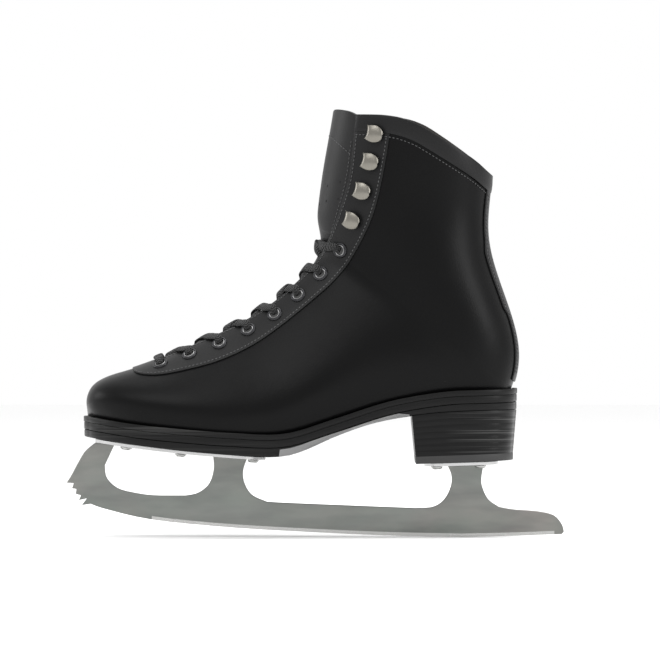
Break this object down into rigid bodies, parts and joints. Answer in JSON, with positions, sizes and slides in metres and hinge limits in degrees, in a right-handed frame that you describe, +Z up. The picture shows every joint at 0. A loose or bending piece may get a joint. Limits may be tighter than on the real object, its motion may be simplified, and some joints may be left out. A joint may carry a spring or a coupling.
{
  "type": "figure ice skate",
  "caption": "Figure skate: stiff lace-up leather boot with eyelets and speed hooks, a stacked heel and a plated steel blade with toe picks.",
  "frame": {"origin": "centre of the bounding box, on the ice under the blade", "axes": "+X from toe to heel, +Y from the wearer's one side to the other across the blade, +Z up"},
  "size_m": [0.33, 0.096, 0.2835],
  "materials": {
    "upper_leather": "smooth black, soft gloss",
    "facing_leather": "smooth black, satin",
    "stay_leather": "smooth black, satin",
    "lining_leather": "matt, fine grain",
    "thermoplastic": "matt, stiff",
    "board": "fibre board, matt",
    "footbed": "brushed cloth over foam",
    "cork": "pressed cork granules",
    "sole_leather": "burnished black edge",
    "heel_stack": "stacked, burnished black",
    "heel_top": "matt",
    "shank_steel": "spring steel strip",
    "tongue_leather": "smooth black, satin",
    "blade_steel": "satin grey, bright ground edge",
    "plate_chrome": "bright",
    "lace": "braided, matt",
    "aglet": "shrunk film",
    "eyelet": "gunmetal flange, bright inner edge",
    "hook": "dull nickel",
    "screw": "bright zinc"
  },
  "bodies": {
    "boot": {"upper": "upper_leather", "facing": "facing_leather", "back_stay": "stay_leather", "lining": "lining_leather", "toe_puff": "thermoplastic", "heel_counter": "thermoplastic", "insole_board": "board", "footbed": "footbed", "cork_filler": "cork", "welt": "sole_leather", "midsole": "sole_leather", "outsole": "sole_leather", "heel_block": "heel_stack", "heel_cap": "heel_top", "shank": "shank_steel", "tongue_lower": "tongue_leather", "blade": "blade_steel", "sole_plate": "plate_chrome", "heel_plate": "plate_chrome", "lace": "lace", "lace_tail_left": "lace", "lace_tail_right": "lace", "aglet_left": "aglet", "aglet_right": "aglet", "eyelet_left_1": "eyelet", "eyelet_left_2": "eyelet", "eyelet_left_3": "eyelet", "eyelet_left_4": "eyelet", "eyelet_left_5": "eyelet", "eyelet_left_6": "eyelet", "eyelet_left_7": "eyelet", "eyelet_left_8": "eyelet", "hook_left_1": "hook", "hook_left_2": "hook", "hook_left_3": "hook", "hook_left_4": "hook", "eyelet_right_1": "eyelet", "eyelet_right_2": "eyelet", "eyelet_right_3": "eyelet", "eyelet_right_4": "eyelet", "eyelet_right_5": "eyelet", "eyelet_right_6": "eyelet", "eyelet_right_7": "eyelet", "eyelet_right_8": "eyelet", "hook_right_1": "hook", "hook_right_2": "hook", "hook_right_3": "hook", "hook_right_4": "hook", "sole_screw_1": "screw", "sole_screw_2": "screw", "sole_screw_3": "screw", "sole_screw_4": "screw", "sole_screw_5": "screw", "sole_screw_6": "screw", "heel_screw_1": "screw", "heel_screw_2": "screw", "heel_screw_3": "screw", "heel_screw_4": "screw"},
    "tongue": {"tongue_upper": "tongue_leather"}
  },
  "joints": [
    {"name": "tongue_fold", "type": "hinge", "parent": "boot", "child": "tongue", "pos_m": [0.0026, 0, 0.2043], "axis": [0, -1, 0], "range_deg": [0, 40], "stiffness_Nm_per_rad": 0.08}
  ]
}
